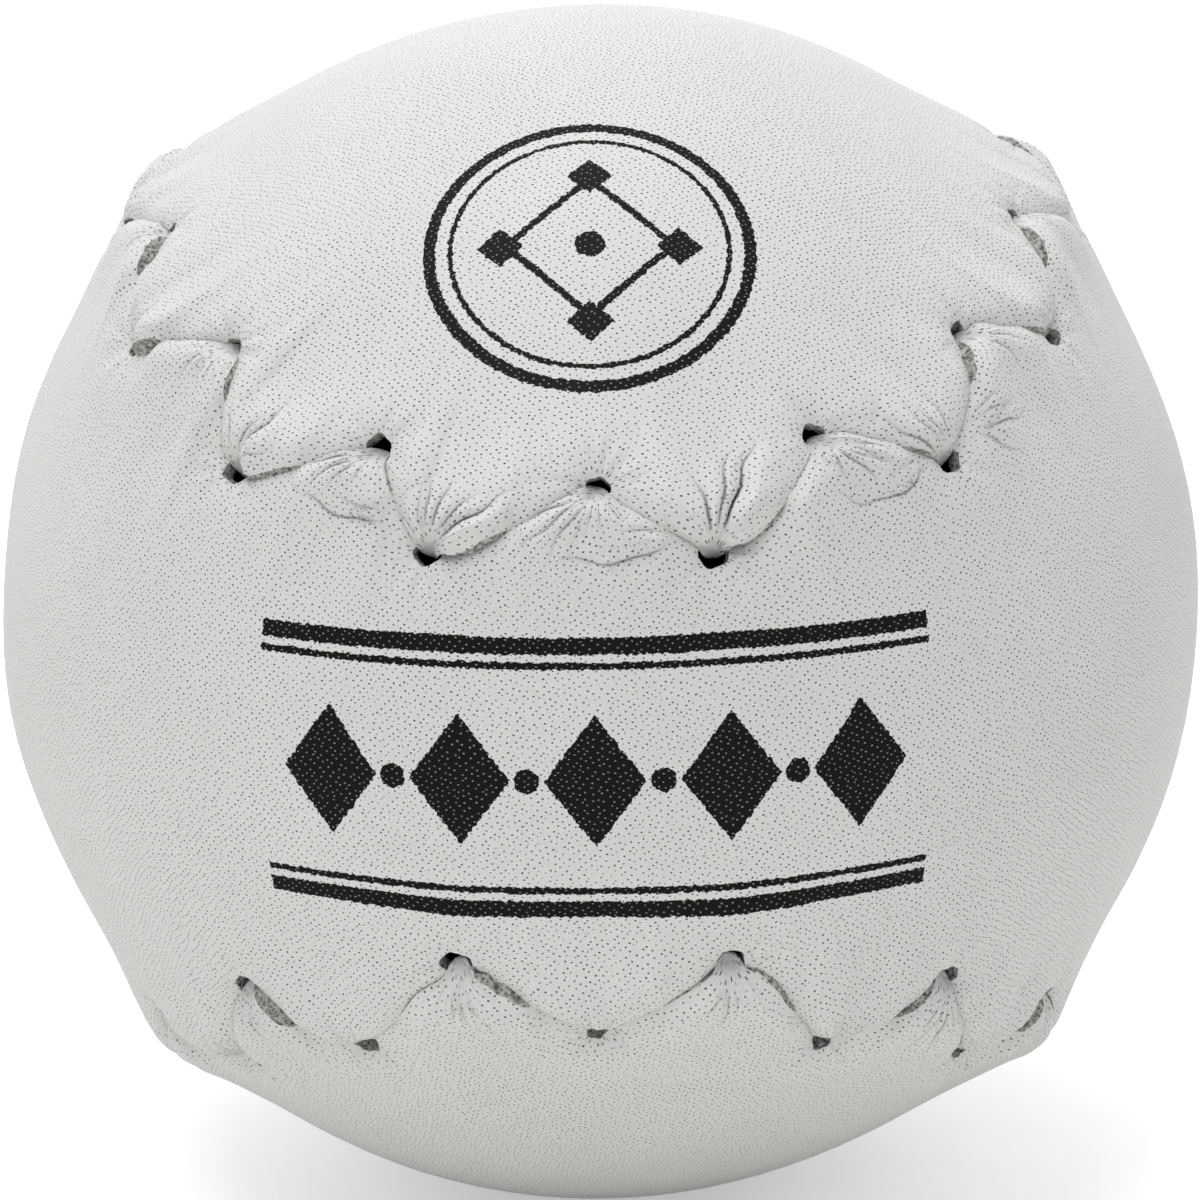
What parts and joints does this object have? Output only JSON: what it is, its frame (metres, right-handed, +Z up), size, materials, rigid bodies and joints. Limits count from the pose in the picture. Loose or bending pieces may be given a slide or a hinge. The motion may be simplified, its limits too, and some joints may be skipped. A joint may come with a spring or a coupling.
{
  "type": "softball",
  "caption": "White leather softball whose two figure-eight cover panels interlace in pointed tabs along a raised seam, laced from inside over a wound kapok core.",
  "frame": {"origin": "centre of the ball", "axes": "+Z up, -Y through the middle of the front panel's waist, +X to the right as seen from the front"},
  "size_m": [0.097, 0.097, 0.097],
  "materials": {
    "white_leather": "satin",
    "cement": "satin",
    "winding_yarn": "matte",
    "waxed_thread": "satin",
    "kapok": "matte"
  },
  "bodies": {
    "root": {"kapok_core": "kapok", "elastic_winding": "winding_yarn", "front_cement": "cement", "rear_cement": "cement", "seam_lace": "waxed_thread", "lace_knot": "waxed_thread", "front_panel": "white_leather", "rear_panel": "white_leather"}
  },
  "joints": []
}
